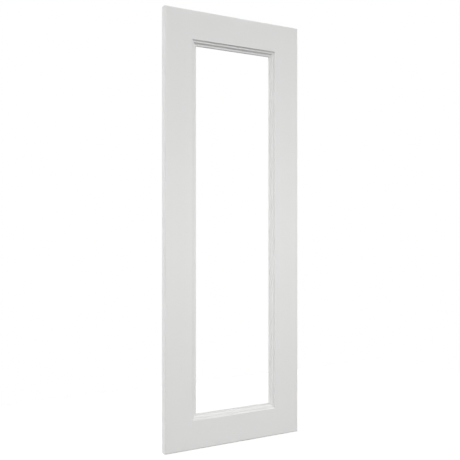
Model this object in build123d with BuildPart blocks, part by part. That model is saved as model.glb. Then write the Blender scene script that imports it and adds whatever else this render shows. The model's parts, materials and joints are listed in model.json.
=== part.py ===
from build123d import *
import math
import os

# An open-framed kitchen cabinet door, ready to take a pane in the rebate at its back.
# Millimetres. The front face looks along -Y, +X is right seen from the front and +Z is up.
# The origin is the centre of the door.

# Whole door
door_width = 378.0
door_height = 1064.0
door_thickness = 19.0
edge_round_radius = 4.0
back_edge_ease = 0.6

# Face and moulding of every frame member, from its outer edge towards the opening
flat_face_width = 70.0
bead_radius = 2.4
bead_drop = 0.8
upper_land_width = 2.8
ogee_width = 6.0
ogee_drop = 4.0
lower_land_width = 2.9
lip_thickness = 5.2
pane_rebate_width = 10.0

# Dowels in the corner joints
dowel_diameter = 8.0
dowel_length = 50.0
dowel_spacing = 32.0
dowel_depth_in_stile = 20.0
dowel_end_chamfer = 1.0
dowel_side_clearance = 0.05
dowel_end_clearance = 1.0
flute_count = 8
flute_cutter_side = 0.6
flute_cutter_turn = 45.0

# Hinge drillings in the back of the left stile
hinge_count = 3
hinge_end_distance = 100.0
hinge_cup_diameter = 35.0
hinge_cup_depth = 13.0
hinge_cup_edge_distance = 5.0
hinge_plug_diameter = 8.0
hinge_plug_depth = 13.0
hinge_plug_spacing = 45.0
hinge_plug_offset = 9.5

# Sizes that follow from the ones above
moulding_width = bead_radius + upper_land_width + ogee_width + lower_land_width
member_width = flat_face_width + moulding_width
lip_front_depth = bead_radius + bead_drop + ogee_drop
lip_back_depth = lip_front_depth + lip_thickness
ogee_turn = 2 * math.degrees(math.atan2(ogee_drop, ogee_width))
ogee_radius = ogee_width / 2 / math.sin(math.radians(ogee_turn))
half_width = door_width / 2
half_height = door_height / 2
half_thickness = door_thickness / 2

# Places of the dowels: two in each corner, centred on the full thickness of the rail
full_thickness_width = member_width - pane_rebate_width
dowel_outer_inset = (full_thickness_width - dowel_spacing) / 2
dowel_inner_inset = (full_thickness_width + dowel_spacing) / 2
dowel_inner_end = half_width - flat_face_width + dowel_depth_in_stile
dowel_middle = dowel_inner_end - dowel_length / 2

# Places of the hinges along the left stile
hinge_spacing = (door_height - 2 * hinge_end_distance) / (hinge_count - 1)
hinge_cup_x = -half_width + hinge_cup_edge_distance + hinge_cup_diameter / 2
hinge_plug_x = hinge_cup_x + hinge_plug_offset


# Section of a frame member: x runs from the outer edge to the opening, y from the face to the back.
# The face turns down over a quarter-round bead with a short upright foot. A land, an ogee of two
# equal arcs and a second land then lead to the lip, and behind the lip a rebate takes the pane.
with BuildSketch() as member_section:
    with BuildLine():
        face = Line((0, 0), (flat_face_width, 0))
        bead = JernArc(face @ 1, (1, 0), bead_radius, 90)
        bead_foot = Line(bead @ 1, bead @ 1 + Vector(0, bead_drop))
        upper_land = Line(bead_foot @ 1, bead_foot @ 1 + Vector(upper_land_width, 0))
        ogee_top = JernArc(upper_land @ 1, (1, 0), ogee_radius, ogee_turn)
        ogee_foot = JernArc(ogee_top @ 1, ogee_top % 1, ogee_radius, -ogee_turn)
        Polyline(
            ogee_foot @ 1,
            (member_width, lip_front_depth),
            (member_width, lip_back_depth),
            (full_thickness_width, lip_back_depth),
            (full_thickness_width, door_thickness),
            (0, door_thickness),
            (0, 0),
        )
    make_face()

# Planes that set the section on edge, one for each side of the door
left_plane = Plane((-half_width, -half_thickness, -half_height), x_dir=(1, 0, 0), z_dir=(0, 0, 1))
right_plane = Plane((half_width, -half_thickness, half_height), x_dir=(-1, 0, 0), z_dir=(0, 0, -1))
bottom_plane = Plane((half_width, -half_thickness, -half_height), x_dir=(0, 0, 1), z_dir=(-1, 0, 0))
top_plane = Plane((-half_width, -half_thickness, half_height), x_dir=(0, 0, -1), z_dir=(1, 0, 0))


# Outline of the glued-up frame, whose edges are rounded over in one pass after assembly
with BuildPart() as door_outline:
    Box(door_width, door_thickness, door_height)
    front_face = door_outline.faces().sort_by(Axis.Y)[0]
    back_face = door_outline.faces().sort_by(Axis.Y)[-1]
    fillet(front_face.edges(), radius=edge_round_radius)
    chamfer(back_face.edges(), length=back_edge_ease)


# Drillings for the dowels, shared by the two pieces that meet in each joint
with BuildPart() as dowel_drillings:
    for side in (-1, 1):
        with BuildSketch(Plane.YZ.offset(side * dowel_middle)):
            for end in (-1, 1):
                outer_height = end * (half_height - dowel_outer_inset)
                inner_height = end * (half_height - dowel_inner_inset)
                with Locations((0, outer_height), (0, inner_height)):
                    Circle(dowel_diameter / 2 + dowel_side_clearance)
        extrude(amount=dowel_length / 2 + dowel_end_clearance, both=True)


# Stiles run the full height of the door
with BuildPart() as left_stile:
    with BuildSketch(left_plane):
        add(member_section.sketch)
    extrude(amount=door_height)
    add(door_outline.part, mode=Mode.INTERSECT)
    add(dowel_drillings.part, mode=Mode.SUBTRACT)
    # Cups for the hinges, bored from the back
    with BuildSketch(Plane.XZ.offset(-half_thickness)):
        with Locations((hinge_cup_x, 0)):
            with GridLocations(hinge_spacing, hinge_spacing, 1, hinge_count):
                Circle(hinge_cup_diameter / 2)
    extrude(amount=hinge_cup_depth, mode=Mode.SUBTRACT)
    # Two smaller holes beside each cup take the plugs that hold the hinge
    with BuildSketch(Plane.XZ.offset(-half_thickness)):
        with Locations((hinge_plug_x, 0)):
            with GridLocations(hinge_spacing, hinge_spacing, 1, hinge_count):
                with GridLocations(hinge_plug_spacing, hinge_plug_spacing, 1, 2):
                    Circle(hinge_plug_diameter / 2)
    extrude(amount=hinge_plug_depth, mode=Mode.SUBTRACT)

with BuildPart() as right_stile:
    with BuildSketch(right_plane):
        add(member_section.sketch)
    extrude(amount=door_height)
    add(door_outline.part, mode=Mode.INTERSECT)
    add(dowel_drillings.part, mode=Mode.SUBTRACT)


# Rails have the same section, and their ends are coped: cut to the reverse of the stiles' section
with BuildPart() as bottom_rail:
    with BuildSketch(bottom_plane):
        add(member_section.sketch)
    extrude(amount=door_width)
    for stile_plane in (left_plane, right_plane):
        with BuildSketch(stile_plane):
            add(member_section.sketch)
        extrude(amount=door_height, mode=Mode.SUBTRACT)
    add(door_outline.part, mode=Mode.INTERSECT)
    add(dowel_drillings.part, mode=Mode.SUBTRACT)

with BuildPart() as top_rail:
    with BuildSketch(top_plane):
        add(member_section.sketch)
    extrude(amount=door_width)
    for stile_plane in (left_plane, right_plane):
        with BuildSketch(stile_plane):
            add(member_section.sketch)
        extrude(amount=door_height, mode=Mode.SUBTRACT)
    add(door_outline.part, mode=Mode.INTERSECT)
    add(dowel_drillings.part, mode=Mode.SUBTRACT)

left_stile.part.label = "left_stile"
right_stile.part.label = "right_stile"
bottom_rail.part.label = "bottom_rail"
top_rail.part.label = "top_rail"
pieces = [left_stile.part, right_stile.part, bottom_rail.part, top_rail.part]


# Fluted dowels, two in each corner joint. Each flute is a V, cut by a square that stands on its corner.
for side, side_name in ((-1, "left"), (1, "right")):
    for end, end_name in ((-1, "bottom"), (1, "top")):
        for inset, inset_name in ((dowel_outer_inset, "outer"), (dowel_inner_inset, "inner")):
            dowel_centre = (side * dowel_middle, 0, end * (half_height - inset))
            dowel_plane = Plane(dowel_centre, x_dir=(0, 1, 0), z_dir=(1, 0, 0))
            with BuildPart() as dowel:
                with BuildSketch(dowel_plane):
                    Circle(dowel_diameter / 2)
                extrude(amount=dowel_length / 2, both=True)
                chamfer(dowel.edges().filter_by(GeomType.CIRCLE), length=dowel_end_chamfer)
                with BuildSketch(dowel_plane):
                    with PolarLocations(dowel_diameter / 2, flute_count):
                        Rectangle(flute_cutter_side, flute_cutter_side, rotation=flute_cutter_turn)
                extrude(amount=dowel_length / 2, both=True, mode=Mode.SUBTRACT)
            dowel.part.label = f"dowel_{end_name}_{side_name}_{inset_name}"
            pieces.append(dowel.part)


os.makedirs("parts", exist_ok=True)
for piece in pieces:
    export_step(piece, f"parts/{piece.label}.step")
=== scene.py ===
# %% [markdown]
# # A framed kitchen cabinet door, sprayed white
#
# The door is a frame of two stiles and two rails round an open middle. A moulding runs round the
# opening, and the back has a rebate for a pane and bores for three hinges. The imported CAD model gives
# every place and size. This lesson makes the visible members again as fine surfaces with softened
# edges, gives each surface the finish of the real one, and lights the door as in a white studio.

import json
import math

import bmesh
import bpy
import numpy as np
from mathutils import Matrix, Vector, geometry


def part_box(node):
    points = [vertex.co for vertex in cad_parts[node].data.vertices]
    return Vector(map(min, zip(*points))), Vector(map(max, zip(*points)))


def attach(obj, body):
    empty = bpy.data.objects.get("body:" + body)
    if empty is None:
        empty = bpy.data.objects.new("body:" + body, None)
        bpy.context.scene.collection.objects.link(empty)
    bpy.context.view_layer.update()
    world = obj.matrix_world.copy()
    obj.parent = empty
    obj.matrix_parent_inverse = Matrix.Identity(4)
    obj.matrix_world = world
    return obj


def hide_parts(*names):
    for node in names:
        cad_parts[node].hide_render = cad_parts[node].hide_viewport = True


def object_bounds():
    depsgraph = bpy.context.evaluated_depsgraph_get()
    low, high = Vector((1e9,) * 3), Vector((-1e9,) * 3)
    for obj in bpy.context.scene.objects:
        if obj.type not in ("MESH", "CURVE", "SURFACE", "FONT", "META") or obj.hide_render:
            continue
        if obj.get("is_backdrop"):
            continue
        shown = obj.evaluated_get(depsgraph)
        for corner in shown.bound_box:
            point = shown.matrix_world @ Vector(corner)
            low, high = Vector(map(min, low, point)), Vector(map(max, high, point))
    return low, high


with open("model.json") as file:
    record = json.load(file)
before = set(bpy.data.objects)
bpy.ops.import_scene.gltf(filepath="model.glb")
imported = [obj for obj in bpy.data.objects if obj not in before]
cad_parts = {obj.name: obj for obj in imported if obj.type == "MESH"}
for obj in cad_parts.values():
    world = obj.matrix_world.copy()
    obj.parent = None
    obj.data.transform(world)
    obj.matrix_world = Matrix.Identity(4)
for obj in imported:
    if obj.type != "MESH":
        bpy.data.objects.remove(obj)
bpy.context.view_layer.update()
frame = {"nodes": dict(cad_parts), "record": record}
print("nodes:", ", ".join(sorted(frame["nodes"])))

# %% [markdown]
# ## Sizes
#
# The overall size comes from the boxes of the CAD nodes, so the members made here can't drift from
# the frame. A box says nothing about a section, so the steps of the moulding are written out once, in
# millimetres, as the cutter that makes them is specified. What a box does give is printed beside
# their sum.

# %% Read the frame and name the section's sizes
MM = 0.001

face_width = 70.0
bead_radius = 2.4
bead_drop = 0.8
upper_land = 2.8
ogee_width = 6.0
ogee_drop = 4.0
lower_land = 2.9
lip_thickness = 5.2
rebate_width = 10.0
outer_round = 4.0
back_round = 0.6

low, high = (np.array(corner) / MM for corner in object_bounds())
half_width, half_thickness, half_height = (high - low) / 2
thickness = 2 * half_thickness
stile_low, stile_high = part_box("left_stile")
member_width = (stile_high.x - stile_low.x) / MM
lip_front = bead_radius + bead_drop + ogee_drop
lip_back = lip_front + lip_thickness
solid_width = member_width - rebate_width

moulding_width = bead_radius + upper_land + ogee_width + lower_land
print("door", np.round(high - low, 2), "mm, member", round(member_width, 2), "mm")
print("section adds up to", round(face_width + moulding_width, 2), "mm")

# %% [markdown]
# ## The section as one line
#
# Seen at its cut end, a member is a flat face that turns down over a small bead, crosses a land, falls
# through an ogee to a second land and ends in a lip. A cutter leaves those corners sharp, but sanding
# and a coat of lacquer soften them: outer corners wear to a radius of a few tenths of a millimetre, and
# wet lacquer fills the inner corners by about as much. Those small radii are what catches the light on
# a real moulding, so they are drawn here and not left to a bump map.
#
# Each point is a reach, measured from the member's outer edge towards the opening, and a depth,
# measured from the front face. The depth always grows along the line, by a hair even on the lands. That
# is what lets the next step cut the member into slices.

# %% Draw the inner side of the section
arris = 0.4
crease = 0.3
land_fall = 0.02
coarse, fine = 6, 48


def arc(centre, radius, start, end, steps):
    """Points of a circle's arc: centre + radius (cos a, sin a), for a from start to end in degrees."""
    angles = np.radians(np.linspace(start, end, steps + 1))
    return np.array(centre) + radius * np.column_stack([np.cos(angles), np.sin(angles)])


def moulding_line(steps):
    """The side towards the opening: bead, foot, land, ogee, land, lip, rebate and back edge, joined end
    to end. The ogee is two equal arcs that turn by 2 atan(drop / width) and back."""
    bead_end = face_width + bead_radius
    land_depth = bead_radius + bead_drop
    ogee_start = bead_end + upper_land
    ogee_depth = land_depth + land_fall
    turn = 2 * math.atan2(ogee_drop - land_fall, ogee_width)
    ogee_radius = ogee_width / 2 / math.sin(turn)
    degrees = math.degrees(turn)
    ogee_end = ogee_start + ogee_width
    wall = member_width - arris
    return np.vstack([
        arc((face_width, bead_radius), bead_radius, -90, 0, 2 * steps),
        arc((bead_end + crease, land_depth - crease), crease, 180, 90, steps),
        arc((ogee_start, ogee_depth + ogee_radius), ogee_radius, -90, degrees - 90, 2 * steps),
        arc((ogee_end, lip_front - ogee_radius), ogee_radius, 90 + degrees, 90, 2 * steps),
        arc((wall, lip_front + land_fall + arris), arris, -90, 0, steps),
        arc((wall, lip_back - arris), arris, 0, 90, steps),
        arc((solid_width + crease, lip_back + land_fall + crease), crease, -90, -180, steps),
        arc((solid_width - arris, thickness - arris), arris, 0, 90, steps),
    ])


print("points along the moulding:", len(moulding_line(coarse)))
print("points drawn finely:", len(moulding_line(fine)))

# %% [markdown]
# ## The outer edge
#
# The door's own edge is rounded over by 4 mm at the front, after the frame is glued up, and only eased
# at the back. Both sides of the section are then read at one shared list of depths.

# %% Draw the outer side and share the depths
def outer_line(steps):
    """The side away from the opening: a quarter circle at the front and a small one at the back."""
    return np.vstack([
        arc((outer_round, outer_round), outer_round, -90, -180, 2 * steps),
        arc((back_round, thickness - back_round), back_round, 180, 90, steps),
    ])


def read_line(line, at):
    """A line's first value at the given depths. Points that don't go deeper are left out."""
    deeper = np.append(True, np.diff(np.maximum.accumulate(line[:, 1])) > 0)
    return np.interp(at, line[deeper, 1], line[deeper, 0])


thinnest = 0.004
depth = np.unique(np.concatenate([moulding_line(coarse)[:, 1], outer_line(coarse)[:, 1]]))
depth = np.append(depth[:-1][np.diff(depth) > thinnest], thickness)
depth[0] = 0.0
reach = read_line(moulding_line(fine), depth)
inset = read_line(outer_line(fine), depth)
print("slices:", len(depth), "thinnest", round(np.diff(depth).min(), 4), "mm")

# %% [markdown]
# ## Members as stacks of slices
#
# Cut parallel to the door's face, every member is a plain rectangle at any depth. A stile's rectangle
# runs the full height, less the round-over. A rail's rectangle stops at the stile, and because the
# stile gets wider with depth, the rail gets shorter by as much: its end is the stile's moulding in
# reverse. That is the coped joint that a joiner cuts with a matched pair of cutters. So one function of
# two parameters, the depth and the corner, makes all four members, and the joint comes out exact.
#
# A real joint shows as a hairline under the lacquer, so the rails stop a twentieth of a millimetre
# short. The first and last slices are repeated a little smaller: that narrow border holds the shading
# of the flat faces flat.

# %% Turn slices into closed members
joint_gap = 0.05
hold = 1.0
inward = np.array([0.0, 1.0, 0.0])


def slices(near, far, half_length):
    """Corners of all rectangles as an array of slice, corner and (across, along, depth). The first and
    last rectangle come again, smaller by hold on every side, as the border of the flat faces."""
    across = np.column_stack([near, far, far, near])
    along = np.column_stack([-half_length, -half_length, half_length, half_length])
    stack = np.stack([across, along, np.repeat(depth[:, None], 4, axis=1)], axis=2)
    shrink = np.array([[hold, hold, 0], [-hold, hold, 0], [-hold, -hold, 0], [hold, -hold, 0]])
    return np.concatenate([[stack[0] + shrink], stack, [stack[-1] + shrink]])


def placed(stack, corner, across, along):
    """Points of a stack in metres: corner + across u + along v + inward w."""
    u, v, w = stack[..., 0, None], stack[..., 1, None], stack[..., 2, None]
    return (np.array(corner) + u * np.array(across) + v * np.array(along) + w * inward) * MM


def band_faces(rings, around):
    """Quads between each ring of points and the next, closed round the ring."""
    ring, step = np.meshgrid(np.arange(rings - 1), np.arange(around), indexing="ij")
    here = ring * around + step
    beside = ring * around + (step + 1) % around
    return np.stack([here, beside, beside + around, here + around], axis=-1).reshape(-1, 4)


stile_stack = slices(inset, reach, half_height - inset)
rail_stack = slices(inset, reach, half_width - reach - joint_gap)
print("one member:", stile_stack.shape[0], "rings of 4 corners")

# %% [markdown]
# ## Hinge bores
#
# Concealed hinges press into 35 mm cups bored in the back of the hanging stile, each with two 8 mm
# holes beside it for the plugs of its flange. The record's mounts give every centre and radius and the
# cups' depth. They give no depth for the holes, which are bored as deep as the cups.

# %% Read the bores
def read_bores(record):
    """Centre, radius, depth and whether it has a spur pit, of each cup and then of each plug hole. The
    two holes' centres are the mount's centre + or - half its spacing."""
    cups = [mount for mount in record["mounts"] if mount["kind"] == "bore"]
    plugs = [mount for mount in record["mounts"] if mount["kind"] == "bolt_pattern"]
    found = []
    for mount in cups:
        x, _, z = np.array(mount["pos_m"]) / MM
        found.append(((x, z), mount["dims"]["r_mm"], mount["dims"]["length_mm"], True))
    plug_depth = found[0][2]
    for mount in plugs:
        x, _, z = np.array(mount["pos_m"]) / MM
        for side in (-0.5, 0.5):
            shifted = (x, z + side * mount["dims"]["spacing_y_mm"])
            found.append((shifted, mount["dims"]["hole_r_mm"], plug_depth, False))
    return found


bores = read_bores(frame["record"])
print("bores:", len(bores), "radii", sorted({radius for _, radius, _, _ in bores}))

# %% [markdown]
# ## The wall and floor of a bore
#
# A hinge boring bit has a centre spur, so each cup has a small pit in its floor, and the worn corners of
# any bit leave the foot of the wall softened. A bore is round, so it is a profile turned about its axis:
# a grid with the profile's points one way and the angle the other.

# %% Turn the bores
around_bore = 64
spur_radius = 1.4
spur_depth = 0.9
cup_corner = 0.5


def bore_profile(radius, length, spur):
    """Radius and height from the back face, down the wall and over the floor to the axis."""
    floor = -length
    points = [(radius, 0.0), (radius, floor + cup_corner), (radius - cup_corner, floor)]
    if spur:
        points += [(spur_radius, floor), (0.0, floor - spur_depth)]
    else:
        points += [(0.0, floor)]
    return np.array(points)


def bore_surface(centre, profile):
    """The profile turned about the bore's axis: x = cx + r cos a, z = cz + r sin a, y = back + h."""
    angle = np.linspace(0, 2 * np.pi, around_bore, endpoint=False)
    radius, height = profile[:, 0, None], profile[:, 1, None]
    x = centre[0] + radius * np.cos(angle)
    y = half_thickness + np.repeat(height, around_bore, axis=1)
    z = centre[1] + radius * np.sin(angle)
    return np.stack([x, y, z], axis=-1).reshape(-1, 3) * MM


print("points round each bore:", around_bore)

# %% [markdown]
# ## The back face round the bores
#
# The back of the bored stile is flat, with circles left out of it. A constrained triangulation fills a
# sheet up to given edges, here the outline and the circles, and the triangles inside the circles are
# dropped. Cutting with a boolean would do it too, but it leaves slivers and loses the clean shading of
# the long faces.

# %% Cut the back face round the bores
inside_edges_only = 1
snap_distance = 1e-7
just_inside = 0.999


def pierced_back(outline):
    """Triangles of the flat back between its outline and the bores' circles. A circle's points are
    (cx + r cos a, cz + r sin a), the same as its bore's rim, so the two join."""
    angle = np.linspace(0, 2 * np.pi, around_bore, endpoint=False)
    loops = [outline[:, [0, 2]]]
    for (x, z), radius, _, _ in bores:
        loops.append(np.column_stack([x + radius * np.cos(angle), z + radius * np.sin(angle)]) * MM)
    edges, first = [], 0
    for loop in loops:
        index = np.arange(len(loop))
        edges += np.column_stack([first + index, first + (index + 1) % len(loop)]).tolist()
        first += len(loop)
    flat = [Vector(point) for point in np.vstack(loops)]
    filled = geometry.delaunay_2d_cdt(flat, edges, [], inside_edges_only, snap_distance)
    points, faces = np.array(filled[0]), np.array(filled[2])
    centres = points[faces].mean(axis=1)
    solid = np.ones(len(faces), bool)
    for (x, z), radius, _, _ in bores:
        from_axis = np.hypot(centres[:, 0] - x * MM, centres[:, 1] - z * MM)
        solid &= from_axis > radius * MM * just_inside
    back = np.column_stack([points[:, 0], np.full(len(points), half_thickness * MM), points[:, 1]])
    return back, faces[solid]


print("circles left out of the back:", len(bores))

# %% [markdown]
# ## From arrays to a closed mesh
#
# A member is put together from its arrays, then points that lie on each other are merged, so that its
# surface is closed, and the faces are turned outwards. An edge is drawn sharp only where its two faces
# meet at more than 40 degrees, which keeps the arcs of the moulding smooth and the corners crisp.

# %% Close a mesh
sharp_angle = math.radians(40)
merge_distance = 1e-6


def closed_mesh(name, parts):
    """One mesh from (points, faces, material index) parts, merged where they touch, facing outwards."""
    mesh = bpy.data.meshes.new(name)
    points, faces, slots, first = [], [], [], 0
    for part_points, part_faces, slot in parts:
        points.append(part_points)
        faces += (np.asarray(part_faces) + first).tolist()
        slots += [slot] * len(part_faces)
        first += len(part_points)
    mesh.from_pydata(np.vstack(points), [], faces)
    mesh.polygons.foreach_set("material_index", slots)
    shape = bmesh.new()
    shape.from_mesh(mesh)
    bmesh.ops.remove_doubles(shape, verts=shape.verts, dist=merge_distance)
    bmesh.ops.recalc_face_normals(shape, faces=shape.faces)
    open_edges = sum(not edge.is_manifold for edge in shape.edges)
    shape.to_mesh(mesh)
    shape.free()
    mesh.shade_smooth()
    mesh.set_sharp_from_angle(angle=sharp_angle)
    print(f"{name}: {len(mesh.polygons)} faces, {open_edges} open edges")
    return mesh


print("edges sharper than", round(math.degrees(sharp_angle)), "degrees stay crisp")

# %% [markdown]
# ## The four members
#
# Every member is the bands between its slices with a front and a back, set against one side of the
# door: across runs from that side towards the opening, and along runs the length of the member. Only
# the left stile has bores, whose walls take a second material because they are bare wood. Each finished
# member takes the place of its CAD node.

# %% Build the four members
members = {}


def member(node, stack, corner, across, along, bored=False):
    """A stile or rail that stands for a CAD node: bands between its slices, a front and a back."""
    points = placed(stack, corner, across, along)
    rings = len(points)
    flat_points = points.reshape(-1, 3)
    parts = [
        (flat_points, band_faces(rings, 4), 0),
        (points[0], [[0, 1, 2, 3]], 0),
    ]
    if bored:
        parts.append((*pierced_back(points[-1]), 0))
        for centre, radius, length, spur in bores:
            profile = bore_profile(radius, length, spur)
            walls = bore_surface(centre, profile)
            parts.append((walls, band_faces(len(profile), around_bore), 1))
    else:
        parts.append((points[-1], [[0, 1, 2, 3]], 0))
    piece = bpy.data.objects.new(node + "_painted", closed_mesh(node + "_painted", parts))
    bpy.context.scene.collection.objects.link(piece)
    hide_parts(node)
    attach(piece, "root")
    members[node] = piece


front = -half_thickness
member("left_stile", stile_stack, (-half_width, front, 0), (1, 0, 0), (0, 0, 1), bored=True)
member("right_stile", stile_stack, (half_width, front, 0), (-1, 0, 0), (0, 0, 1))
member("bottom_rail", rail_stack, (0, front, -half_height), (0, 0, 1), (1, 0, 0))
member("top_rail", rail_stack, (0, front, half_height), (0, 0, -1), (1, 0, 0))
print("members:", ", ".join(members))

# %% [markdown]
# ## Tools for materials
#
# A colour is easiest to match as the hex value that an eyedropper shows, which is coded for screens.
# Light adds up in linear values, so one function turns the first into the second. A second function
# adds a node, sets it and links it, which keeps each material short enough to read.

# %% Colour and node helpers
def linear(code):
    """An sRGB hex code as linear red, green, blue and alpha: v / 12.92 below 0.04045, or else
    ((v + 0.055) / 1.055) ^ 2.4."""
    value = np.array([int(code[i:i + 2], 16) for i in (1, 3, 5)]) / 255
    curve = np.where(value <= 0.04045, value / 12.92, ((value + 0.055) / 1.055) ** 2.4)
    return (*curve, 1.0)


def add(tree, kind, inputs=None, **settings):
    """Adds a node, sets its settings, and gives each named or numbered input a value or a link."""
    made = tree.nodes.new(kind)
    for name, value in settings.items():
        setattr(made, name, value)
    for key, value in (inputs or {}).items():
        if isinstance(value, bpy.types.NodeSocket):
            tree.links.new(value, made.inputs[key])
        else:
            made.inputs[key].default_value = value
    return made


def new_material(name):
    """An empty node material, its tree and its output node."""
    material = bpy.data.materials.new(name)
    material.use_nodes = True
    material.node_tree.nodes.clear()
    output = add(material.node_tree, "ShaderNodeOutputMaterial")
    return material, material.node_tree, output


print("the screen's middle grey #808080 is", round(float(linear("#808080")[0]), 3), "in linear light")

# %% [markdown]
# ## Satin lacquer, sprayed on maple
#
# The white is a two-part polyurethane lacquer, sprayed in two coats and left satin. It is a dielectric
# with an index of 1.5, and its matting agent gives a broad, soft sheen: roughness about 0.42. Sprayed
# lacquer never dries quite flat. It keeps an orange peel a few millimetres across, and over solid wood
# the grain shows through it as faint lines along each member, where the fibres swelled under the first
# coat. Both are only microns high. They are drawn about ten times higher here, because light as broad
# as this hides the true height altogether. The white is the one that an eyedropper shows on the face.
# The sheen's noise keeps to the middle of its range, so only that part is spread from shinier to
# duller. The stiles and rails differ only in the way that the grain runs, so one function makes both.

# %% Mix the lacquer
peel_size = 2.8 * MM
peel_height = 0.06 * MM
grain_width = 1.1 * MM
grain_length = 60 * MM
grain_height = 0.05 * MM
cloud_size = 120 * MM
shinier, duller = 0.39, 0.45
noise_from, noise_to = 0.3, 0.7
lacquer_index = 1.5


def satin_lacquer(name, grain_axis):
    """White lacquer over grain that runs along the given axis, 0 for X or 2 for Z."""
    material, tree, output = new_material(name)
    place = add(tree, "ShaderNodeTexCoord").outputs["Object"]
    stretch = [1.0, 1.0, 1.0]
    stretch[grain_axis] = grain_width / grain_length
    along = add(tree, "ShaderNodeMapping", {"Vector": place, "Scale": stretch})
    clouds = add(tree, "ShaderNodeTexNoise", {"Vector": place, "Scale": 1 / cloud_size, "Detail": 3.0})
    peel = add(tree, "ShaderNodeTexNoise", {"Vector": place, "Scale": 1 / peel_size, "Detail": 1.0})
    grain = add(tree, "ShaderNodeTexNoise",
                {"Vector": along.outputs[0], "Scale": 1 / grain_width, "Detail": 4.0, "Roughness": 0.6})
    tint = add(tree, "ShaderNodeMix",
               {0: clouds.outputs["Fac"], 6: linear("#DDDDDC"), 7: linear("#DFDFDE")}, data_type="RGBA")
    sheen = add(tree, "ShaderNodeMapRange",
                {"Value": clouds.outputs["Fac"], "From Min": noise_from, "From Max": noise_to,
                 "To Min": shinier, "To Max": duller})
    ripple = add(tree, "ShaderNodeBump",
                 {"Height": peel.outputs["Fac"], "Distance": peel_height, "Strength": 1.0})
    relief = add(tree, "ShaderNodeBump",
                 {"Height": grain.outputs["Fac"], "Distance": grain_height, "Strength": 1.0,
                  "Normal": ripple.outputs[0]})
    surface = add(tree, "ShaderNodeBsdfPrincipled",
                  {"Base Color": tint.outputs[2], "Roughness": sheen.outputs[0],
                   "IOR": lacquer_index, "Normal": relief.outputs[0]})
    tree.links.new(surface.outputs[0], output.inputs["Surface"])
    return material


stile_lacquer = satin_lacquer("satin_lacquer_on_stiles", grain_axis=2)
rail_lacquer = satin_lacquer("satin_lacquer_on_rails", grain_axis=0)
print("lacquers:", stile_lacquer.name, rail_lacquer.name)

# %% [markdown]
# ## Bare wood
#
# The hinge cups are bored after painting, so they show the maple of the stile: pale cream with fine
# grain and a dull surface, its fibres torn a little by the bit. The dowels inside the joints are beech,
# a warmer tan with short dark flecks, turned and fluted. Both are noise stretched along the grain: wood
# is long cells side by side, so its pattern changes fast across them and slowly along them. The fibres
# that the bit raises are finer still, a third of the grain's width.

# %% Cut the bare wood
fibre_height = 0.08 * MM
fibres_to_grain = 3
wood_index = 1.5


def bare_wood(name, dark, pale, grain_axis, width, length, roughness):
    """Wood with grain along the given axis, between two colours, with fibres raised by the cutter."""
    material, tree, output = new_material(name)
    place = add(tree, "ShaderNodeTexCoord").outputs["Object"]
    stretch = [1.0, 1.0, 1.0]
    stretch[grain_axis] = width / length
    along = add(tree, "ShaderNodeMapping", {"Vector": place, "Scale": stretch})
    grain = add(tree, "ShaderNodeTexNoise",
                {"Vector": along.outputs[0], "Scale": 1 / width, "Detail": 6.0, "Roughness": 0.65})
    fibres = add(tree, "ShaderNodeTexNoise",
                 {"Vector": along.outputs[0], "Scale": fibres_to_grain / width, "Detail": 2.0})
    tint = add(tree, "ShaderNodeMix",
               {0: grain.outputs["Fac"], 6: linear(dark), 7: linear(pale)}, data_type="RGBA")
    relief = add(tree, "ShaderNodeBump",
                 {"Height": fibres.outputs["Fac"], "Distance": fibre_height, "Strength": 1.0})
    surface = add(tree, "ShaderNodeBsdfPrincipled",
                  {"Base Color": tint.outputs[2], "Roughness": roughness, "IOR": wood_index,
                   "Normal": relief.outputs[0]})
    tree.links.new(surface.outputs[0], output.inputs["Surface"])
    return material


maple = bare_wood("bored_maple", "#B8956A", "#E6CFA6", grain_axis=2,
                  width=1.5 * MM, length=30 * MM, roughness=0.7)
beech = bare_wood("turned_beech", "#A87B4F", "#D9B183", grain_axis=0,
                  width=0.8 * MM, length=6 * MM, roughness=0.6)
print("woods:", maple.name, beech.name)

# %% [markdown]
# ## Finish every piece
#
# The drawn members get the lacquer whose grain runs their own way, and the left stile's second
# material is the maple of its bores. The CAD nodes get finishes too: the dowels are seen as beech when
# a joint is taken apart, and the others stand for the members in a plain view of the model.

# %% Give every piece its finish
for node, piece in members.items():
    piece.data.materials.append(stile_lacquer if "stile" in node else rail_lacquer)
members["left_stile"].data.materials.append(maple)
for name, node in frame["nodes"].items():
    finish = beech if name.startswith("dowel") else stile_lacquer
    node.data.materials.clear()
    node.data.materials.append(finish)
print("finished:", len(frame["nodes"]), "CAD nodes and", len(members), "members")

# %% [markdown]
# ## The light of a white studio
#
# The picture has a pure white ground and no shadow, as when a door hangs in a light tent. The light on
# it is broad. A bank stands at each side, strongest at the door's own level and fading towards the top.
# A weaker bank in front shines down from above. Hardly any light comes from below, so the undersides of
# the moulding go grey and draw its lines. The world gives this light as a formula of direction, with x
# to the right, y away and z up: |x| (1 - z)^2 for the sides and -y z for the front, above the horizon
# only. A narrow bank behind, y^60, isn't in the picture. It brings the door's back, which is greyer
# than the front without it, nearer to the front's white.
#
# The formula is written as a table. Each line is one Math node: its result's name, what it does, and
# the numbers or earlier results that it does it to.

# %% Write the light as a formula
side_light = 5.53
side_fade = 2.0
front_light = 2.07
back_light = 10.0
back_focus = 60.0
dim_light = 0.02

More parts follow.
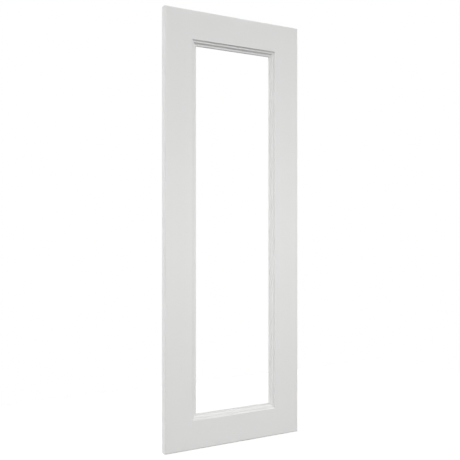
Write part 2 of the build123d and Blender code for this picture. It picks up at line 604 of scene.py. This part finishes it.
world = bpy.data.worlds.new("studio")
bpy.context.scene.world = world
world.use_nodes = True
tree = world.node_tree
tree.nodes.clear()
around = add(tree, "ShaderNodeTexCoord").outputs["Generated"]
results = dict(zip("xyz", add(tree, "ShaderNodeSeparateXYZ", {0: around}).outputs))
steps = [
    ("height", "MAXIMUM", "z", 0.0),
    ("above", "GREATER_THAN", "z", 0.0),
    ("across", "ABSOLUTE", "x"),
    ("from top", "SUBTRACT", 1.0, "height"),
    ("fade", "POWER", "from top", side_fade),
    ("faded", "MULTIPLY", "across", "fade"),
    ("sides", "MULTIPLY", "faded", "above"),
    ("towards", "MULTIPLY", "y", -1.0),
    ("facing", "MAXIMUM", "towards", 0.0),
    ("front", "MULTIPLY", "facing", "height"),
    ("behind", "MAXIMUM", "y", 0.0),
    ("narrow", "POWER", "behind", back_focus),
    ("back", "MULTIPLY", "narrow", "above"),
    ("front lit", "MULTIPLY_ADD", "front", front_light, dim_light),
    ("sides lit", "MULTIPLY_ADD", "sides", side_light, "front lit"),
    ("level", "MULTIPLY_ADD", "back", back_light, "sides lit"),
]
for name, operation, *values in steps:
    inputs = {slot: results.get(value, value) for slot, value in enumerate(values)}
    results[name] = add(tree, "ShaderNodeMath", inputs, operation=operation).outputs[0]
light = add(tree, "ShaderNodeBackground",
            {"Color": linear("#FFFFFF"), "Strength": results["level"]})
print("the light's formula has", len(steps), "steps")

# %% [markdown]
# ## White to the eye only
#
# To the camera, to reflections and through anything clear the world is plain white at strength 1, and
# only the light that it sheds on a surface follows the formula. A ray carries its own kind, so the two
# are told apart by the light path, and the white ground adds nothing to the light.

# %% Show the ground white
white_level = 1.0


def seen_rays(tree):
    """1 for a ray from the camera, a reflection or a transmission, and 0 for light on a surface."""
    path = add(tree, "ShaderNodeLightPath").outputs
    bent = add(tree, "ShaderNodeMath", {0: path["Is Glossy Ray"], 1: path["Is Transmission Ray"]},
               operation="MAXIMUM")
    seen = add(tree, "ShaderNodeMath", {0: path["Is Camera Ray"], 1: bent.outputs[0]},
               operation="MAXIMUM")
    return seen.outputs[0]


white = add(tree, "ShaderNodeBackground", {"Color": linear("#FFFFFF"), "Strength": white_level})
both = add(tree, "ShaderNodeMixShader",
           {0: seen_rays(tree), 1: light.outputs[0], 2: white.outputs[0]})
add(tree, "ShaderNodeOutputWorld", {"Surface": both.outputs[0]})
print("world nodes:", len(tree.nodes))

# %% [markdown]
# ## A soft box
#
# One weak, wide soft box stands in front, level with the middle of the door. It makes the stiles a
# touch brighter in the middle than at their ends, which is what keeps a plain white face from looking
# cut out of paper. It is an area lamp, in metres and watts, turned to face the door's centre.

# %% Set the soft box
box_power = 1.1
box_width = 1.0
box_height = 0.5
box_place = (0.1, -0.7, 0.0)
door_centre = Vector((0, 0, 0))

lamp = bpy.data.lights.new("front_box", "AREA")
lamp.shape = "RECTANGLE"
lamp.size = box_width
lamp.size_y = box_height
lamp.energy = box_power
lamp_object = bpy.data.objects.new("front_box", lamp)
lamp_object.location = box_place
aim = door_centre - lamp_object.location
lamp_object.rotation_euler = aim.to_track_quat("-Z", "Y").to_euler()
bpy.context.scene.collection.objects.link(lamp_object)
print("soft box of", box_power, "W at", round(aim.length, 3), "m")

# %% [markdown]
# ## The floor
#
# The floor lies as far below as for the door of a wall cupboard. It is pale to the eye and dark to the
# light, by the same light path as the world, so it doesn't throw light up under the moulding. It is
# diffuse, so it still takes the door's shadow, and a small glow for the camera lifts it to the white of
# the ground.

# %% Lay the floor
floor_drop = 1.4
floor_half = 6.0
floor_glow = 0.31

floor_level = -half_height * MM - floor_drop
corners = floor_half * np.array([[-1, -1], [1, -1], [1, 1], [-1, 1]])
floor_mesh = bpy.data.meshes.new("floor")
floor_mesh.from_pydata(np.column_stack([corners, np.full(4, floor_level)]), [], [(0, 1, 2, 3)])
floor = bpy.data.objects.new("floor", floor_mesh)
bpy.context.scene.collection.objects.link(floor)
floor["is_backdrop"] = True

pale, tree, output = new_material("pale_floor")
seen = seen_rays(tree)
colour = add(tree, "ShaderNodeMix", {0: seen, 6: linear("#262626"), 7: linear("#F4F4F2")},
             data_type="RGBA")
matt = add(tree, "ShaderNodeBsdfDiffuse", {"Color": colour.outputs[2]})
glow = add(tree, "ShaderNodeMath", {0: seen, 1: floor_glow}, operation="MULTIPLY")
lift = add(tree, "ShaderNodeEmission", {"Color": linear("#FFFFFF"), "Strength": glow.outputs[0]})
sum_shader = add(tree, "ShaderNodeAddShader", {0: matt.outputs[0], 1: lift.outputs[0]})
tree.links.new(sum_shader.outputs[0], output.inputs["Surface"])
floor.data.materials.append(pale)
print("floor at", round(floor_level, 3), "m")

# %% [markdown]
# ## The camera
#
# The picture was taken level with the middle of the door, from its left. Four measures in the picture
# fix the camera: the near edge's column and height in pixels, the lens, from how fast the horizontal
# lines converge, and the turn between the camera and the door's face. The near edge's height gives its
# distance, its column gives how far it stands to the left, and so the place follows.

# %% Place the camera
frame_pixels = 460
lens_pixels = 643.0
turn = math.radians(28.3)
near_edge_column = 165.0
near_edge_height = 450.7
sensor = 36.0

door_height = 2 * half_height * MM
distance = lens_pixels * door_height / near_edge_height
sideways = (near_edge_column - frame_pixels / 2) / near_edge_height * door_height
to_right = np.array([math.cos(turn), -math.sin(turn), 0])
ahead_of_camera = np.array([math.sin(turn), math.cos(turn), 0])
near_edge = np.array([-half_width, -half_thickness, 0]) * MM

camera_data = bpy.data.cameras.new("camera")
camera_data.sensor_width = sensor
camera_data.lens = lens_pixels / frame_pixels * sensor
camera = bpy.data.objects.new("camera", camera_data)
camera.location = near_edge - sideways * to_right - distance * ahead_of_camera
camera.rotation_euler = (math.pi / 2, 0, -turn)
bpy.context.scene.collection.objects.link(camera)
bpy.context.scene.camera = camera
bpy.context.scene.view_settings.view_transform = "Standard"
print("camera", np.round(camera.location, 3), "lens", round(camera_data.lens, 2), "mm")

# %% [markdown]
# ## Finish
#
# The view layer is brought up to date, so every piece stands where it was placed.

# %% Bring the scene up to date
bpy.context.view_layer.update()
